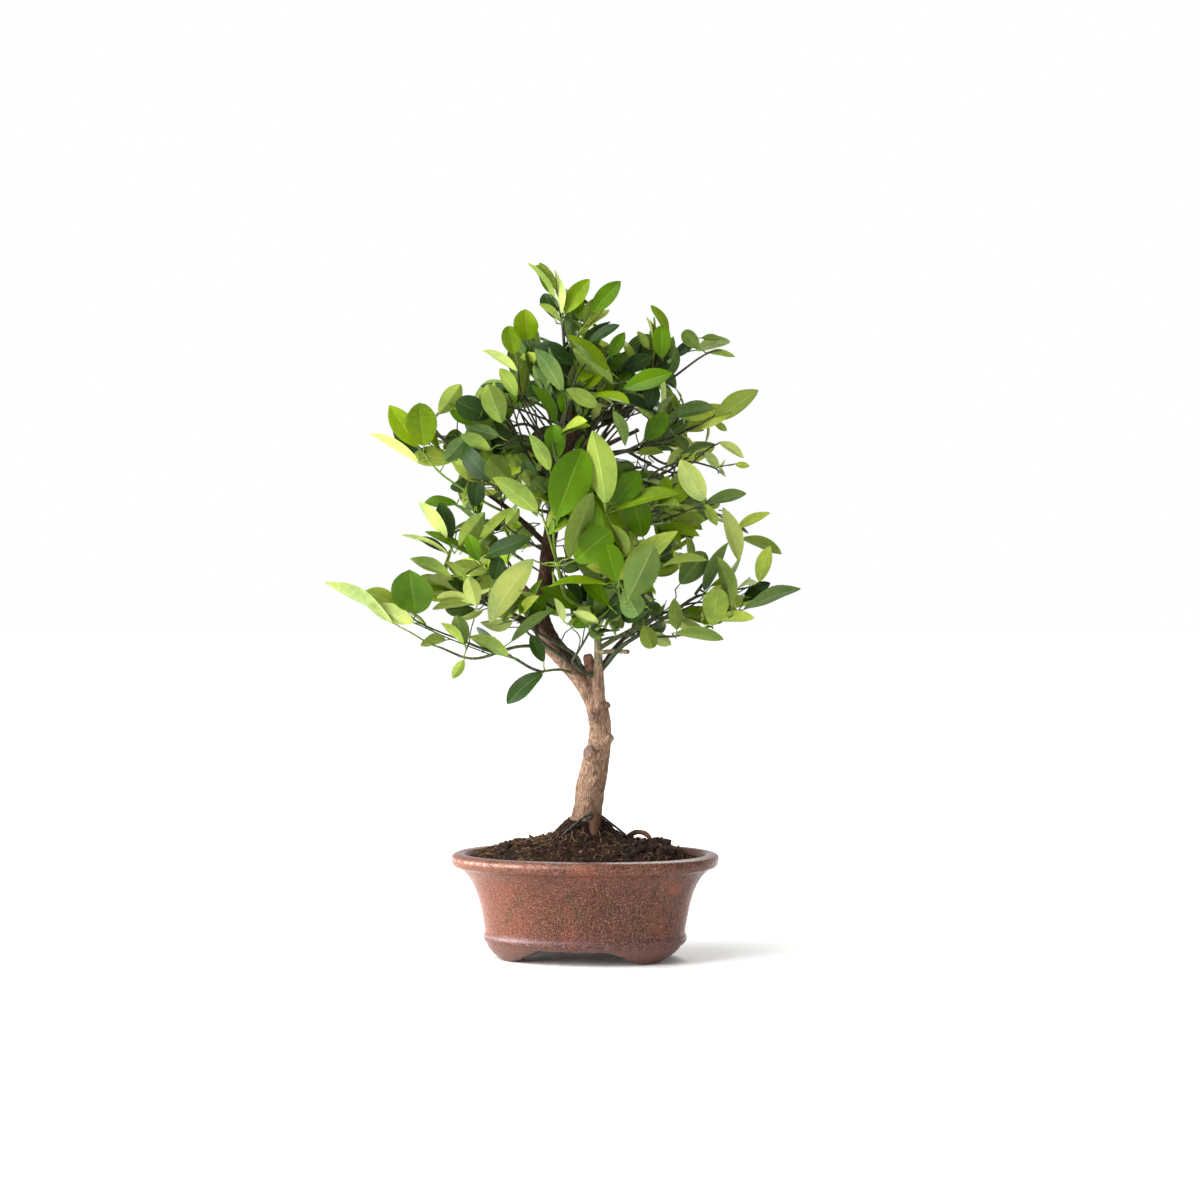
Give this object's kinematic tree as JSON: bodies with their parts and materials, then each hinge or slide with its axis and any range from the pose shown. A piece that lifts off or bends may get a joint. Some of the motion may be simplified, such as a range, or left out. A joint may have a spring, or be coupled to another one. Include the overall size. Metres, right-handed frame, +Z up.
{
  "type": "calamondin bonsai",
  "caption": "Calamondin bonsai in an oval glazed pot on low feet: a leaning forked trunk rises from a mound of soil into an open, uneven crown of glossy green leaves.",
  "frame": {"origin": "middle of the plant's bounding box seen from above, on the surface that the pot's feet stand on; the pot's own middle is 11.5 mm towards +X and 1 mm towards +Y", "axes": "+Z up; the pot's long axis is along X; -Y is the front, which the picture shows from about 7 degrees towards +X"},
  "size_m": [0.3702, 0.272, 0.544],
  "materials": {
    "pot_glaze": "satin",
    "soil": "matte",
    "bark": "matte",
    "young_bark": "matte",
    "leaves": "satin",
    "wire": "satin"
  },
  "bodies": {
    "root": {"anchor_wire": "wire", "back_left": "leaves", "back_low_left": "leaves", "back_low_right": "leaves", "back_middle": "leaves", "back_right": "leaves", "bough_back": "young_bark", "bough_back_low_left": "young_bark", "bough_back_low_right": "young_bark", "bough_back_right": "young_bark", "bough_front": "young_bark", "bough_front_left": "young_bark", "bough_front_right": "young_bark", "bough_left_drooping": "young_bark", "bough_left_low": "young_bark", "bough_left_lowest": "young_bark", "bough_left_upper": "young_bark", "bough_right_green": "young_bark", "bough_right_low": "young_bark", "bough_right_middle": "young_bark", "bough_right_top": "young_bark", "bough_right_upper": "young_bark", "bough_top": "young_bark", "core_left": "leaves", "core_right": "leaves", "front_left": "leaves", "front_low": "leaves", "front_middle": "leaves", "front_right": "leaves", "left_droop_low": "leaves", "left_droop_tip": "leaves", "left_low": "leaves", "left_lowest": "leaves", "left_middle": "leaves", "left_outer": "leaves", "left_top": "leaves", "left_upper": "leaves", "left_upper_tip": "leaves", "pot": "pot_glaze", "right_low": "leaves", "right_low_inner": "leaves", "right_low_tip": "leaves", "right_middle": "leaves", "right_outer": "leaves", "right_thin": "leaves", "right_top": "leaves", "right_top_tip": "leaves", "right_upper": "leaves", "right_upper_tip": "leaves", "second_stem": "young_bark", "soil": "soil", "surface_root_front": "bark", "surface_root_right": "bark", "top_back": "leaves", "top_front": "leaves", "top_left": "leaves", "top_middle": "leaves", "top_right": "leaves", "trunk": "bark"}
  },
  "joints": []
}
